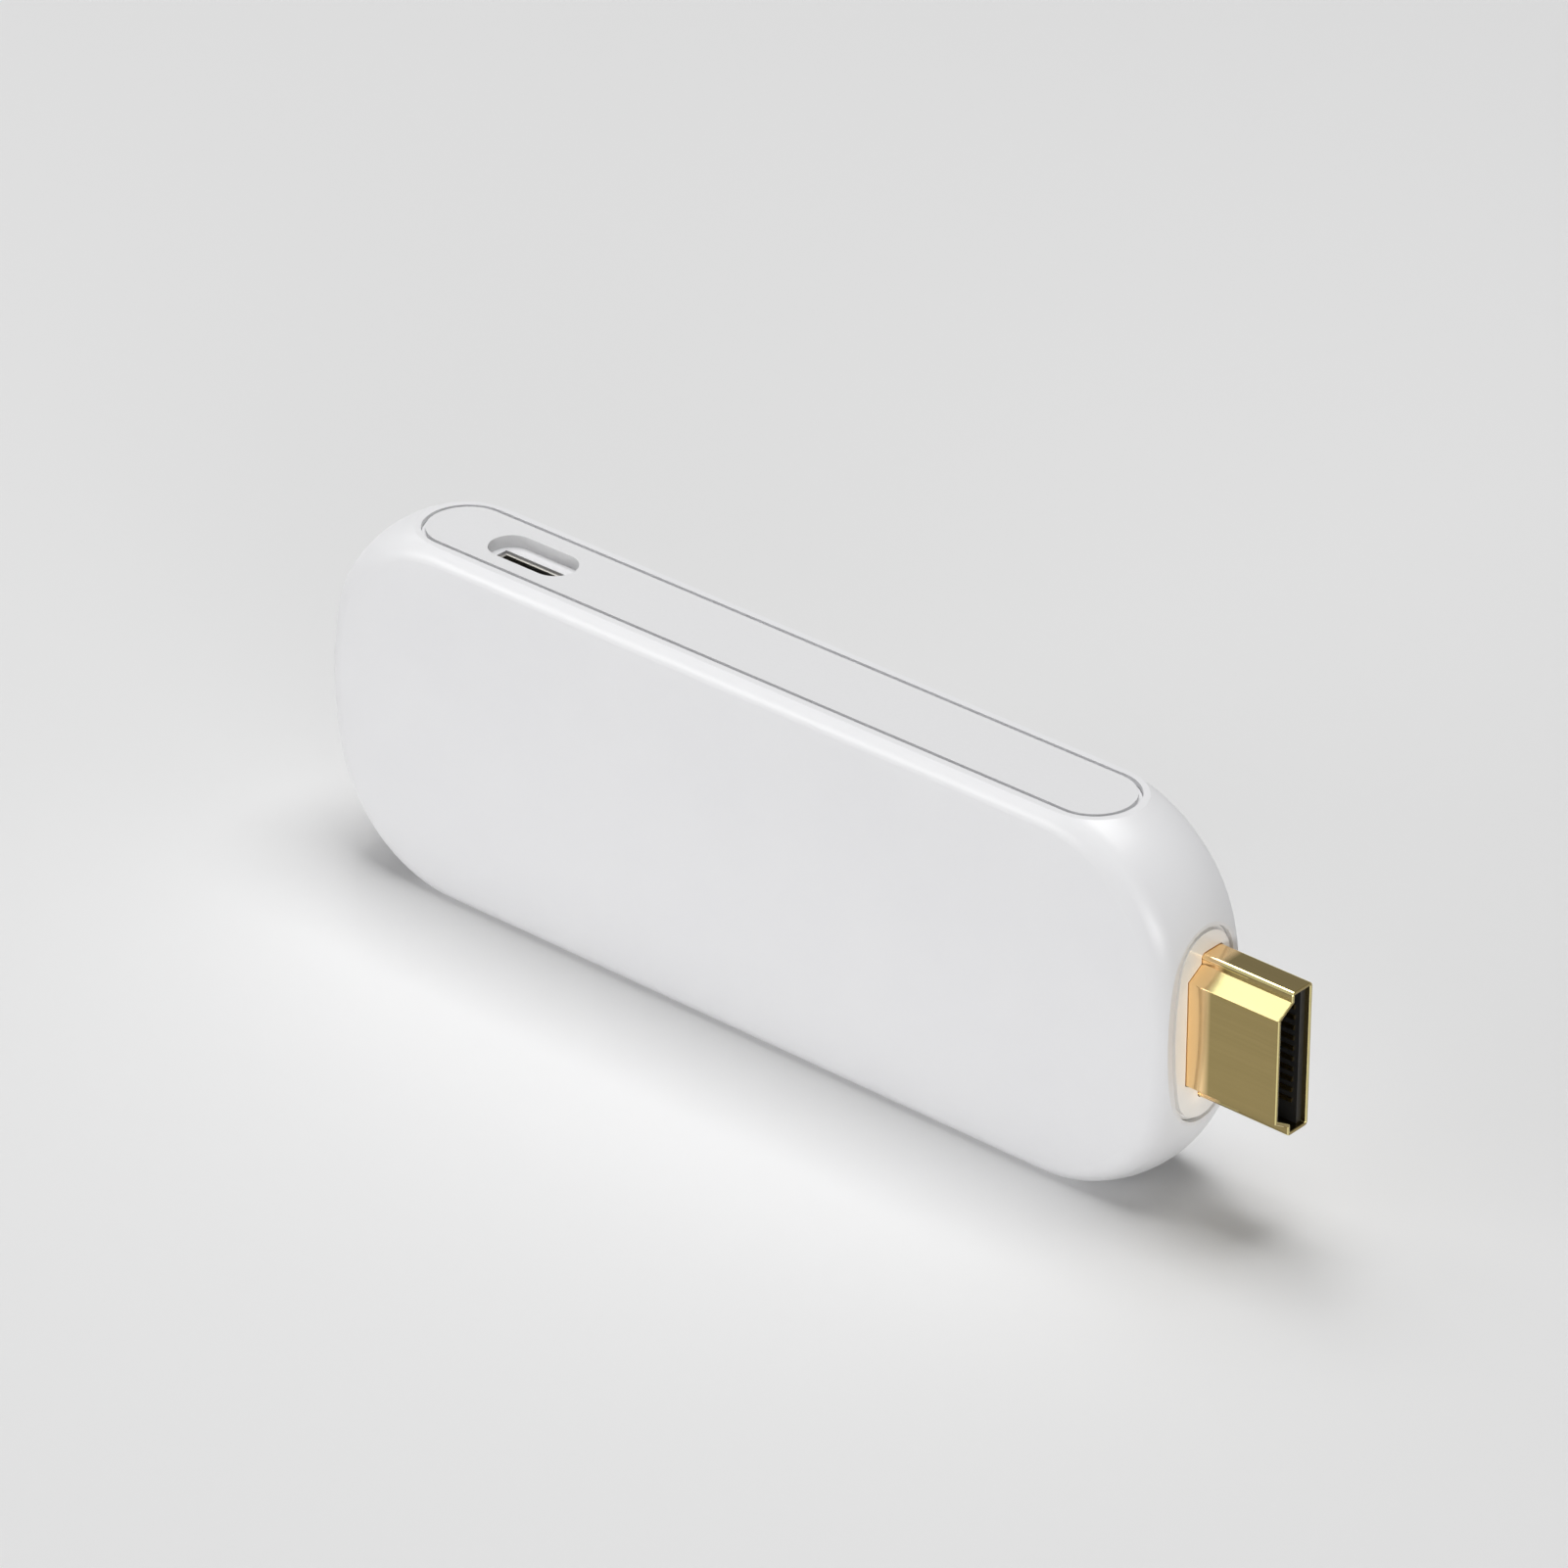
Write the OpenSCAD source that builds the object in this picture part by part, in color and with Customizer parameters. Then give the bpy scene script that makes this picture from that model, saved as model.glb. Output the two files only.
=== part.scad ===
// Smart TV stick: a moulded tub with soft edges that stands on one narrow side, a gold HDMI plug at
// the +X end and a power socket in the narrow side that faces up. +Y is the hidden back. The origin
// is the middle of the flat that the stick stands on.

/* [Housing] */
// Length of the housing over its bulged ends, before the flat seat round the plug is cut
body_length = 98.8; // [94:0.2:110]
// Height of the housing from the flat it stands on to the flat round the side panel
body_height = 35.2; // [33:0.2:38]
// Thickness of the housing from the front face to the back face
body_thickness = 12; // [11.6:0.1:12.6]
// Depth of soft edge that is left between a broad face and the flat of a narrow side
flat_margin = 1.3; // [1.2:0.05:1.5]
// Radius of the four corners, seen from the front
corner_radius = 14.5; // [13.5:0.1:15]
// Radius of the small arc at the edge of each broad face
edge_radius = 2.7; // [2.5:0.1:2.9]
// Length of the gentle shoulder by which each broad face runs into its edge
shoulder_run = 6; // [4.8:0.3:6.3]
// Thickness of the front wall
front_wall = 1.5; // [1.2:0.1:1.6]
// Thickness of the long side walls, from the crown of the soft edge
side_wall = 3.9; // [3.8:0.1:4.1]

/* [Rear cover] */
// Depth of the rear cover that shows outside the seam
cover_skin = 1; // [0.8:0.1:1.2]
// Thickness of the rear cover over the hollow
cover_wall = 1.5; // [1.3:0.1:1.7]
// Thickness of the lip that goes into the tub
lip_wall = 1; // [0.8:0.1:1.2]
// Depth of the lip below the cover's inner face
lip_depth = 1.6; // [1.4:0.1:1.8]
// Play between the lip and the tub
lip_play = 0.1; // [0.05:0.05:0.15]
// Length of each snap ridge on the lip
ridge_length = 7; // [5:0.5:9]
// Height of each snap ridge
ridge_height = 0.35; // [0.3:0.05:0.4]

/* [Side panel] */
// Width of the rim that is left of the flat along each side of the panel's recess
panel_side_rim = 0.6; // [0.5:0.05:0.8]
// Width of the rim that is left of the flat at each end of the panel's recess
panel_end_rim = 0.7; // [0.5:0.05:2]
// Thickness of the side panel
panel_thickness = 1.2; // [1:0.1:1.3]
// Width of the groove that shows round the side panel and the plug bezel
groove_width = 0.4; // [0.3:0.05:0.5]
// Depth of that groove
groove_depth = 0.5; // [0.4:0.05:0.6]
// Length of the power opening
port_length = 9.4; // [9.2:0.1:10]
// Width of the power opening
port_width = 4.2; // [4:0.1:4.4]
// Distance of the power opening's middle from the end of the panel's recess
port_end_distance = 12.2; // [11.5:0.1:14]

/* [Plug seat] */
// How far the oval recess reaches past the plug at its two ends
oval_end_margin = 2.3; // [2.1:0.05:2.5]
// How far the oval recess reaches past the plug on its two long sides
oval_side_margin = 1.95; // [1.7:0.05:2.1]
// Width of the flat seat above and below the oval recess
seat_rim = 0.35; // [0.3:0.05:0.6]
// Thickness of the plug bezel
bezel_thickness = 1.35; // [1.2:0.05:1.5]
// Thickness of the shelf that the plug bezel lies on
shelf_wall = 0.55; // [0.5:0.05:0.7]

/* [HDMI plug] */
// How far the plug stands out of its seat
plug_reach = 9.5; // [9:0.1:11.8]
// Width of the plug shell
plug_width = 13.9; // [13.9:0.05:14]
// Thickness of the plug shell
plug_thickness = 4.45; // [4.4:0.05:4.5]
// Width of the plug shell's narrow face
plug_narrow_width = 10; // [9.8:0.1:10.2]
// Sheet thickness of the plug shell
plug_sheet = 0.35; // [0.3:0.05:0.35]
// Distance from one contact to the next in a row
contact_pitch = 1; // [0.9:0.05:1]
// Width of a contact
contact_width = 0.4; // [0.3:0.05:0.45]

/* [Power socket] */
// Width of the power socket's shell
socket_width = 7.4; // [7.2:0.1:7.5]
// Thickness of the power socket's shell
socket_thickness = 2.5; // [2.4:0.05:2.6]
// Depth of the power socket's shell
socket_depth = 5; // [4.8:0.1:5.2]
// Sheet thickness of the power socket's shell
socket_sheet = 0.3; // [0.25:0.05:0.35]

/* [Circuit board] */
// Thickness of the circuit board
board_thickness = 1; // [0.8:0.1:1.2]
// Gap between the circuit board and the tub's walls
board_gap = 1; // [0.8:0.1:1.2]
// Outer diameter of the bosses that carry the board
boss_diameter = 5; // [4.6:0.1:5.2]
// Diameter of the screws' shanks
screw_diameter = 1.8; // [1.6:0.1:2]
// Diameter of the screws' heads
screw_head = 3.6; // [3.4:0.1:3.8]

/* [Hidden] */
$fn = 96;

// One overrun serves all cuts
over = 1;
// Sizes that arcs meet at are kept to a hundredth, so that the arcs meet exactly
step_size = 0.01;
function snapped(size) = round(size / step_size) * step_size;

// Where a wide arc runs between two small ones, it bulges past the line through their middles by
// this share of half its chord
bulge_share = 0.1;
half_length = snapped(body_length / 2);
half_thickness = body_thickness / 2;
half_height = body_height / 2;

// Section of the soft edge: a wide nose arc, a small edge arc and a gentle shoulder arc that runs
// into the broad face. Each share is the tangent of half the angle at which two of the arcs meet.
nose_share = 0.2;
shoulder_share = 0.08;
shoulder_length = shoulder_run / (2 * shoulder_share);
shoulder_radius = edge_radius + shoulder_length * (1 + pow(shoulder_share, 2));
nose_rise = half_thickness - 2 * shoulder_length * pow(shoulder_share, 2) - edge_radius;
nose_length = nose_rise / (2 * nose_share);
nose_run = nose_length * (1 - pow(nose_share, 2));
nose_radius = edge_radius + nose_length * (1 + pow(nose_share, 2));
edge_inset = nose_radius - nose_run;

// The flats that are cut on the soft edge, and the outline that keeps the height between them
flat_half_width = half_thickness - flat_margin;
crown_cut = edge_inset - sqrt(pow(edge_radius, 2) - pow(flat_half_width - nose_rise, 2));
apex_half = snapped(half_height + crown_cut);
corner_rise = apex_half - corner_radius;
corner_run = corner_rise * (1 - pow(bulge_share, 2)) / (2 * bulge_share);
end_radius = corner_radius + corner_rise * (1 + pow(bulge_share, 2)) / (2 * bulge_share);
end_x = half_length - end_radius;
corner_x = end_x + corner_run;
wedge_share = 3;

// The oval recess, the flat seat that is cut just wider than it, and the recess floor
oval_height = plug_width + 2 * oval_end_margin;
oval_width = plug_thickness + 2 * oval_side_margin;
seat_half = oval_height / 2 + seat_rim;
seat_x = snapped(corner_x + sqrt(pow(corner_radius, 2) - pow(seat_half - corner_rise, 2)));
bezel_floor = seat_x - bezel_thickness;
plug_hole_gap = 0.3;
bezel_gap = 0.08;
fit_gap = 0.05;

// The hollow of the tub, whose right end leaves the shelf behind the bezel
hollow_half_length = bezel_floor - shelf_wall;
end_wall = half_length - hollow_half_length;
hollow_half_height = apex_half - side_wall;
hollow_radius = corner_radius - end_wall;
hollow_front = front_wall - half_thickness;
seam_y = half_thickness - cover_skin;
cover_inner = half_thickness - cover_wall;

// The flat on the narrow side, and the side panel's recess in it
flat_half_length = corner_x + sqrt(pow(corner_radius, 2) - pow(half_height - corner_rise, 2));
panel_recess_width = 2 * (flat_half_width - panel_side_rim);
panel_recess_length = 2 * (flat_half_length - panel_end_rim);
panel_floor = half_height - panel_thickness;
port_y = -0.2;
port_x = snapped(port_end_distance - panel_recess_length / 2);

// The board's faces and outline
board_front = -board_thickness / 2;
board_back = board_thickness / 2;
board_half_height = hollow_half_height - board_gap;
board_left_gap = 1.5;
board_left = board_left_gap - hollow_half_length;
board_left_radius = hollow_radius - board_gap;
board_right_radius = 3;
plug_inside = 7.1;
board_right = seat_x - plug_inside - board_gap;

// Places on the board, as shares of its half length and half height
board_half = [(board_right - board_left) / 2, board_half_height];
board_middle_x = (board_right + board_left) / 2;
function on_board(place_share) =
    [board_middle_x + place_share[0] * board_half[0], place_share[1] * board_half[1]];

boss_place_shares = [[-0.82, -0.6], [-0.82, 0.6], [0.8, -0.76], [0.8, 0.76]];
screw_head_height = 1.2;
screw_tip_height = 0.8;
screw_length = board_back - hollow_front - screw_tip_height;
screw_tip_gap = 0.3;
screw_play = 0.1;
board_hole_play = 0.4;
boss_foot = 0.8;

// Draws in the frame of the housing's middle, raised so that the stick stands on its flat
module standing() translate([0, 0, half_height]) children();

// Turns an outline in X and Z into a plate from y0 to y1
module plate(y0, y1) translate([0, y1, 0]) rotate([90, 0, 0]) linear_extrude(y1 - y0) children();

// Turns an outline in Y and Z into a bar from x0 to x1
module bar(x0, x1)
    translate([x0, 0, 0]) rotate([90, 0, 90]) linear_extrude(x1 - x0) children();

// Rectangle with round corners
module round_rectangle(length, height, radius) {
    square([length - 2 * radius, height], center = true);
    square([length, height - 2 * radius], center = true);
    for (x = [-1, 1], y = [-1, 1])
        translate([x * (length / 2 - radius), y * (height / 2 - radius)])
            circle(r = radius);
}

// Strip with half-round ends
module stadium(length, width) {
    square([length - width, width], center = true);
    for (x = [-1, 1])
        translate([x * (length - width) / 2, 0])
            circle(d = width);
}

// Upright oval: two small end arcs, and a wide side arc between them on each side
module oval(width, height) {
    rise = snapped((height - width) / (2 - 2 * bulge_share));
    run = rise * (1 - pow(bulge_share, 2)) / (2 * bulge_share);
    end_arc = width / 2 - rise * bulge_share;
    side_arc = end_arc + rise * (1 + pow(bulge_share, 2)) / (2 * bulge_share);
    square([end_arc, 2 * rise], center = true);
    for (side = [0, 1]) mirror([side, 0]) {
        intersection() {
            translate([run, 0]) circle(r = side_arc);
            polygon([[0, rise], [-run, 2 * rise], [-run, -2 * rise], [0, -rise]]);
        }
        translate([0, (2 * side - 1) * rise]) circle(r = end_arc);
    }
}

// Section of the soft edge, from the axis it turns about out to the crown
module edge_section(reach) {
    translate([reach - nose_radius, 0])
        intersection() {
            circle(r = nose_radius);
            polygon(wedge_share * [[0, 0], [nose_run, -nose_rise], [nose_run, nose_rise]]);
        }
    for (side = [0, 1]) mirror([0, side]) {
        translate([reach - edge_inset, nose_rise]) circle(r = edge_radius);
        intersection() {
            translate([reach - edge_inset - shoulder_run, half_thickness - shoulder_radius])
                intersection() {
                    circle(r = shoulder_radius, $fn = 6 * $fn);
                    polygon(wedge_share * shoulder_length
                        * [[0, 0], [0, 1], [2 * shoulder_share, 1 - pow(shoulder_share, 2)]]);
                }
            translate([0, -over]) square([reach, body_thickness]);
        }
    }
    translate([0, -half_thickness])
        square([reach - edge_inset - shoulder_run, body_thickness]);
}

// The wide arc of an end, kept between the two directions in which it meets the corner arcs
module end_arc() {
    intersection() {
        rotate([0, 0, -90]) rotate_extrude(angle = 180) edge_section(end_radius);
        linear_extrude(2 * body_thickness, center = true)
            polygon(wedge_share * [[0, 0], [corner_run, -corner_rise], [corner_run, corner_rise]]);
    }
}

// The whole soft-edged body, before its flats are cut: a straight bar, two ends and four corners
module soft_body() {
    rotate([90, 0, 90])
        linear_extrude(2 * corner_x, center = true)
            for (turn = [-90, 90])
                rotate([0, 0, turn]) edge_section(apex_half);
    for (end = [0, 1]) mirror([end, 0, 0]) {
        translate([end_x, 0, 0]) rotate([90, 0, 0]) end_arc();
        for (side = [-1, 1])
            translate([corner_x, 0, side * corner_rise]) rotate([90, 0, 0])
                rotate_extrude() edge_section(corner_radius);
    }
}

// The body with its narrow sides and its plug seat cut flat, between two depths
module cut_body(y0, y1) {
    intersection() {
        soft_body();
        translate([-half_length - over, y0, -half_height])
            cube([half_length + seat_x + over, y1 - y0, body_height]);
    }
}

module hollow_outline(gap)
    round_rectangle(2 * (hollow_half_length - gap), 2 * (hollow_half_height - gap), hollow_radius - gap);

// Places of the snap ridges along the lip, as shares of the hollow's half length
ridge_place_shares = [-0.55, 0, 0.55];
ridge_y = cover_inner - lip_depth / 2;
ridge_root = lip_wall / 2;

// One snap ridge with a ramp on both flanks, on the long wall at height z
module snap_ridge(x, z, grow)
    translate([x, ridge_y, z]) rotate([0, 90, 0])
        linear_extrude(ridge_length + 2 * grow, center = true)
            polygon([[ridge_root, -ridge_height - grow], [0, -ridge_height - grow],
                [-ridge_height - grow, 0], [0, ridge_height + grow], [ridge_root, ridge_height + grow]]);

module snap_ridges(z, grow)
    for (place = ridge_place_shares, half = [0, 1])
        mirror([0, 0, half]) snap_ridge(place * hollow_half_length, z, grow);

// Outline of the HDMI plug, in Y and Z, drawn in by inset. The sheet is bent round at its four square
// corners, steps in at plug_step_y, and slants from the foot of the step to the narrow face.
plug_step_y = -0.5;
plug_step = 0.9;
plug_bend = 0.4;
module plug_outline(inset) {
    back = plug_thickness / 2 - inset;
    front = plug_step_y + inset;
    wide = plug_width / 2 - inset;
    foot = plug_width / 2 - plug_step - inset / 2;
    narrow = plug_narrow_width / 2 - inset / 2;
    bend = plug_bend - inset;
    points = [[back, wide - bend], [back - bend, wide], [front + bend, wide], [front, wide - bend],
        [front, foot], [-back, narrow]];
    polygon(concat(points, [for (i = [len(points) - 1:-1:0]) [points[i][0], -points[i][1]]]));
    for (y = [back - bend, front + bend], side = [-1, 1])
        translate([y, side * (wide - bend)]) circle(r = bend);
}

// Outline of the power socket, in X and Y: wide at the back, with slanted corners at the front
socket_y = -0.95;
socket_slant = 1;
module socket_outline(inset) {
    wide = socket_width / 2 - inset;
    back = socket_thickness / 2 - inset;
    slant = socket_slant - inset / 2;
    polygon([[-wide, back], [wide, back], [wide, slant - back], [wide - slant, -back],
        [slant - wide, -back], [-wide, slant - back]]);
}
socket_top = panel_floor;
socket_x = port_x;
socket_base = socket_top - socket_depth;
socket_hole_gap = 0.3;

// Way of the plug out of the hollow, with play all round
module plug_passage() bar(shell_start - plug_hole_gap, seat_x) plug_outline(-plug_hole_gap);

// A package that lies on the board: side is 1 on the back face and -1 on the front face
module package(size, place, side) {
    near = side > 0 ? board_back : board_front - size[2];
    translate([place[0] - size[0] / 2, near, place[1] - size[1] / 2])
        cube([size[0], size[2], size[1]]);
}

// Housing

module main_housing() color("white") standing() {
    difference() {
        cut_body(-half_thickness, seam_y);
        plate(hollow_front, seam_y + over) hollow_outline(0);
        // Recess, groove and hole for the side panel and the power socket
        translate([0, 0, panel_floor])
            linear_extrude(panel_thickness + over) stadium(panel_recess_length, panel_recess_width);
        translate([socket_x, socket_y, hollow_half_height - over])
            linear_extrude(panel_floor - hollow_half_height + 2 * over)
                socket_outline(-socket_hole_gap);
        // Recess and hole for the plug bezel and the plug
        bar(bezel_floor, seat_x + over) oval(oval_width, oval_height);
        plug_passage();
        snap_ridges(hollow_half_height, fit_gap);
    }
    for (place = boss_place_shares) board_boss(on_board(place));
}

// Boss on the front wall, with a coned foot and a hole for the screw
module board_boss(place) {
    length = board_front - hollow_front;
    depth = screw_length - board_thickness + screw_tip_gap;
    root = front_wall / 2;
    translate([place[0], hollow_front, place[1]]) rotate([-90, 0, 0])
        difference() {
            union() {
                translate([0, 0, -root]) cylinder(d = boss_diameter, h = length + root);
                cylinder(d1 = boss_diameter + 2 * boss_foot, d2 = boss_diameter, h = boss_foot);
            }
            translate([0, 0, length - depth])
                cylinder(d = screw_diameter + screw_play, h = depth + over);
        }
}

module rear_cover() color("whitesmoke") standing()
    difference() {
        union() {
            cut_body(seam_y, half_thickness);
            plate(cover_inner - lip_depth, seam_y + cover_skin / 2) hollow_outline(lip_play);
            snap_ridges(hollow_half_height - lip_play, 0);
        }
        plate(cover_inner - lip_depth - over, cover_inner) hollow_outline(lip_play + lip_wall);
        plug_passage();
    }

module side_panel() color("gainsboro") standing()
    difference() {
        union() {
            translate([0, 0, panel_floor])
                linear_extrude(panel_thickness - groove_depth)
                    stadium(panel_recess_length - 2 * fit_gap, panel_recess_width - 2 * fit_gap);
            translate([0, 0, panel_floor])
                linear_extrude(panel_thickness)
                    stadium(panel_recess_length - 2 * groove_width, panel_recess_width - 2 * groove_width);
        }
        translate([port_x, port_y, panel_floor - over])
            linear_extrude(panel_thickness + 2 * over) stadium(port_length, port_width);
    }

module plug_bezel() color("whitesmoke") standing()
    difference() {
        union() {
            bar(bezel_floor, seat_x - groove_depth)
                oval(oval_width - 2 * fit_gap, oval_height - 2 * fit_gap);
            bar(bezel_floor, seat_x)
                oval(oval_width - 2 * groove_width, oval_height - 2 * groove_width);
        }
        bar(bezel_floor - over, seat_x + over) plug_outline(-bezel_gap);
    }

// Circuit board

leg_length = 4.6;
leg_reach = 0.9;
leg_slot_gap = 0.15;
leg_root = 0.5;
shell_start = board_right + board_gap;

// One of the plug shell's two prongs, beside the board's slot when grown
module shell_legs(grow)
    for (half = [0, 1]) mirror([0, 0, half])
        translate([shell_start - leg_length - grow, -leg_reach, plug_width / 2 - plug_sheet - grow])
            cube([leg_length + leg_root + grow, 2 * leg_reach, plug_sheet + 2 * grow]);

module board_outline() {
    left = board_left + board_left_radius;
    right = board_right - board_right_radius;
    translate([left, -board_half_height]) square([right - left, 2 * board_half_height]);
    for (y = [-1, 1]) {
        translate([left, y * (board_half_height - board_left_radius)]) circle(r = board_left_radius);
        translate([right, y * (board_half_height - board_right_radius)]) circle(r = board_right_radius);
    }
    translate([board_left, board_left_radius - board_half_height])
        square([left - board_left, 2 * (board_half_height - board_left_radius)]);
    translate([right, board_right_radius - board_half_height])
        square([board_right - right, 2 * (board_half_height - board_right_radius)]);
}

module main_board() color("darkgreen") standing()
    difference() {
        plate(board_front, board_back) board_outline();
        for (place = boss_place_shares)
            translate([on_board(place)[0], 0, on_board(place)[1]]) rotate([90, 0, 0])
                cylinder(d = screw_diameter + board_hole_play, h = board_thickness + over, center = true);
        shell_legs(leg_slot_gap);
        // Notch for the power socket, which sits in the board's edge
        translate([socket_x - socket_width / 2 - leg_slot_gap, -board_thickness, socket_base - leg_slot_gap])
            cube([socket_width + 2 * leg_slot_gap, 2 * board_thickness, socket_depth]);
    }

// HDMI plug

plug_tip = seat_x + plug_reach;
block_end = seat_x;
liner_recess = 0.5;
liner_end = plug_tip - liner_recess;
liner_inner = 1.25;
contact_thickness = 0.15;
contact_recess = 0.5;
contact_end = liner_end - contact_recess;
riser_gap = 0.5;
tail_length = 2.6;
row_counts = [10, 9];

module hdmi_shell() color("goldenrod") standing() {
    difference() {
        bar(shell_start, plug_tip) plug_outline(0);
        bar(shell_start - over, plug_tip + over) plug_outline(plug_sheet);
    }
    shell_legs(0);
}

// One contact of a row: blade along the liner, riser and tail on the board
module contact(z, side) {
    deep = side > 0 ? liner_inner - contact_thickness : -liner_inner;
    low = side > 0 ? board_back : -liner_inner;
    rise = liner_inner - board_back;
    tail = side > 0 ? board_back : board_front - contact_thickness;
    from = board_right + riser_gap;
    translate([from - contact_thickness, deep, z - contact_width / 2])
        cube([contact_end - from + contact_thickness, contact_thickness, contact_width]);
    translate([from - contact_thickness, low, z - contact_width / 2])
        cube([contact_thickness, rise, contact_width]);
    translate([board_right - tail_length, tail, z - contact_width / 2])
        cube([from - board_right + tail_length, contact_thickness, contact_width]);
}

module contact_rows() {
    for (row = [0, 1], i = [0:row_counts[row] - 1])
        contact((i - (row_counts[row] - 1) / 2) * contact_pitch, 1 - 2 * row);
}

module hdmi_insulator() color("dimgray") standing()
    difference() {
        bar(shell_start, liner_end) plug_outline(plug_sheet);
        translate([block_end, -liner_inner, -plug_width / 2])
            cube([liner_end - block_end + over, 2 * liner_inner, plug_width]);
        contact_rows();
    }

module hdmi_contacts() color("gold") standing() contact_rows();

// Power socket

module usb_shell() color("silver") standing()
    translate([socket_x, socket_y, socket_base])
        difference() {
            linear_extrude(socket_depth) socket_outline(0);
            translate([0, 0, socket_sheet])
                linear_extrude(socket_depth + over) socket_outline(socket_sheet);
        }

tongue_width = 3.6;
tongue_thickness = 0.6;
tongue_gap = 0.6;
usb_block = 1.2;
usb_contact_count = 5;
usb_contact_pitch = 0.65;
usb_contact_width = 0.3;
usb_contact_thickness = 0.1;
usb_contact_length = 2.6;

module usb_insulator() color("black") standing()
    translate([socket_x, socket_y, socket_base + socket_sheet]) {
        linear_extrude(usb_block) socket_outline(socket_sheet);
        translate([-tongue_width / 2, -tongue_thickness / 2, 0])
            cube([tongue_width, tongue_thickness, socket_depth - socket_sheet - tongue_gap]);
    }

module usb_contacts() color("gold") standing()
    for (i = [0:usb_contact_count - 1])
        translate([socket_x + (i - (usb_contact_count - 1) / 2) * usb_contact_pitch - usb_contact_width / 2,
            socket_y - tongue_thickness / 2 - usb_contact_thickness,
            socket_base + socket_sheet + usb_block])
            cube([usb_contact_width, usb_contact_thickness, usb_contact_length]);

// Packages on the back face of the board, under the heat spreader

processor_size = [14, 14, 1.2];
processor_place_share = [0.12, 0];
processor_place = on_board(processor_place_share);
memory_size = [12, 9, 1];
memory_gap = 2;
memory_row_gap = 1.3;
memory_x = processor_place[0] - (processor_size[0] + memory_size[0]) / 2 - memory_gap;
memory_z = (memory_size[1] + memory_row_gap) / 2;
storage_size = [9, 13, 1];
storage_gap = 1.2;
storage_x = processor_place[0] + (processor_size[0] + storage_size[0]) / 2 + storage_gap;

module processor() color("black") standing() package(processor_size, processor_place, 1);

module memory_chips() color("dimgray") standing()
    for (row = [-1, 1]) package(memory_size, [memory_x, row * memory_z], 1);

module storage_chip() color("dimgray") standing()
    package(storage_size, [storage_x, processor_place[1]], 1);

// Packages on the front face of the board

controller_size = [6, 6, 0.9];
controller_place_share = [0.3, 0.3];
inductor_size = [4, 4, 2];
inductor_place_shares = [[0.5, 0.62], [0.5, 0.2], [0.5, -0.22]];
inductor_base_share = 0.2;
drum_inset = 0.1;
capacitor_size = [1.6, 0.8, 0.8];
capacitor_place_shares = [for (row = [-0.7, -0.55, -0.4], column = [-0.05, 0.05, 0.15, 0.25]) [column, row]];
crystal_size = [3.2, 2.5, 0.8];
crystal_place_share = [0.1, 0.35];
protector_size = [2.5, 1, 0.6];
protector_place_shares = [for (row = [-0.35, -0.12, 0.12, 0.35]) [0.8, row]];
wifi_size = [12, 12, 0.8];
wifi_place_share = [-0.45, -0.3];
shield_size = [10.4, 10.4, 1.6];
shield_lid = 0.2;
antenna_size = [2, 8, 1.2];
antenna_place_share = [-0.93, 0];

module power_controller() color("black") standing()
    package(controller_size, on_board(controller_place_share), -1);

// Shielded coil: square base with a round drum on it
module coil(place) {
    package([inductor_size[0], inductor_size[1], inductor_size[2] * inductor_base_share], place, -1);
    translate([place[0], board_front, place[1]]) rotate([90, 0, 0])
        cylinder(d = inductor_size[0] - 2 * drum_inset, h = inductor_size[2]);
}

module power_inductors() color("gray") standing()
    for (place = inductor_place_shares) coil(on_board(place));

module ceramic_capacitors() color("tan") standing()
    for (place = capacitor_place_shares) package(capacitor_size, on_board(place), -1);

module system_crystal() color("silver") standing()
    package(crystal_size, on_board(crystal_place_share), -1);

module port_protectors() color("black") standing()
    for (place = protector_place_shares) package(protector_size, on_board(place), -1);

module wifi_board() color("darkblue") standing() package(wifi_size, on_board(wifi_place_share), -1);

// Pressed can, open toward the radio board
module wifi_shield() color("silver") standing()
    translate([0, -wifi_size[2], 0])
        difference() {
            package(shield_size, on_board(wifi_place_share), -1);
            package([shield_size[0] - 2 * shield_lid, shield_size[1] - 2 * shield_lid,
                shield_size[2] - shield_lid], on_board(wifi_place_share), -1);
        }

module wifi_antenna() color("white") standing()
    package(antenna_size, on_board(antenna_place_share), -1);

// Cooling

spreader_thickness = 1;
spreader_lip_gap = 1.3;
spreader_cover_gap = 0.7;
spreader_half_height = hollow_half_height - lip_play - lip_wall - spreader_lip_gap;
spreader_y = cover_inner - spreader_cover_gap - spreader_thickness;
spreader_screw_gap = 4.8;
spreader_right = on_board(boss_place_shares[2])[0] - screw_head / 2 - spreader_screw_gap;
spreader_socket_gap = 2.7;
spreader_length = spreader_right - socket_x - socket_width / 2 - spreader_socket_gap;
spreader_leg = 1.6;
pad_size = [15, 15];

module thermal_pad() color("lightblue") standing() {
    top = board_back + processor_size[2];
    translate([0, processor_size[2], 0])
        package([pad_size[0], pad_size[1], spreader_y - top], processor_place, 1);
}

// Aluminium plate on four folded legs
module heat_spreader() color("lightgray") standing()
    translate([spreader_right - spreader_length / 2, 0, 0]) {
        translate([-spreader_length / 2, spreader_y, -spreader_half_height])
            cube([spreader_length, spreader_thickness, 2 * spreader_half_height]);
        for (x = [0, 1], z = [0, 1]) mirror([x, 0, 0]) mirror([0, 0, z])
            translate([spreader_length / 2 - spreader_thickness, board_back,
                spreader_half_height - spreader_leg])
                cube([spreader_thickness, spreader_y + spreader_thickness / 2 - board_back, spreader_leg]);
    }

// Screws that hold the board on its bosses, each with a cross recess in its head
recess_length = 2;
recess_width = 0.5;
recess_depth = 0.6;

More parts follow.
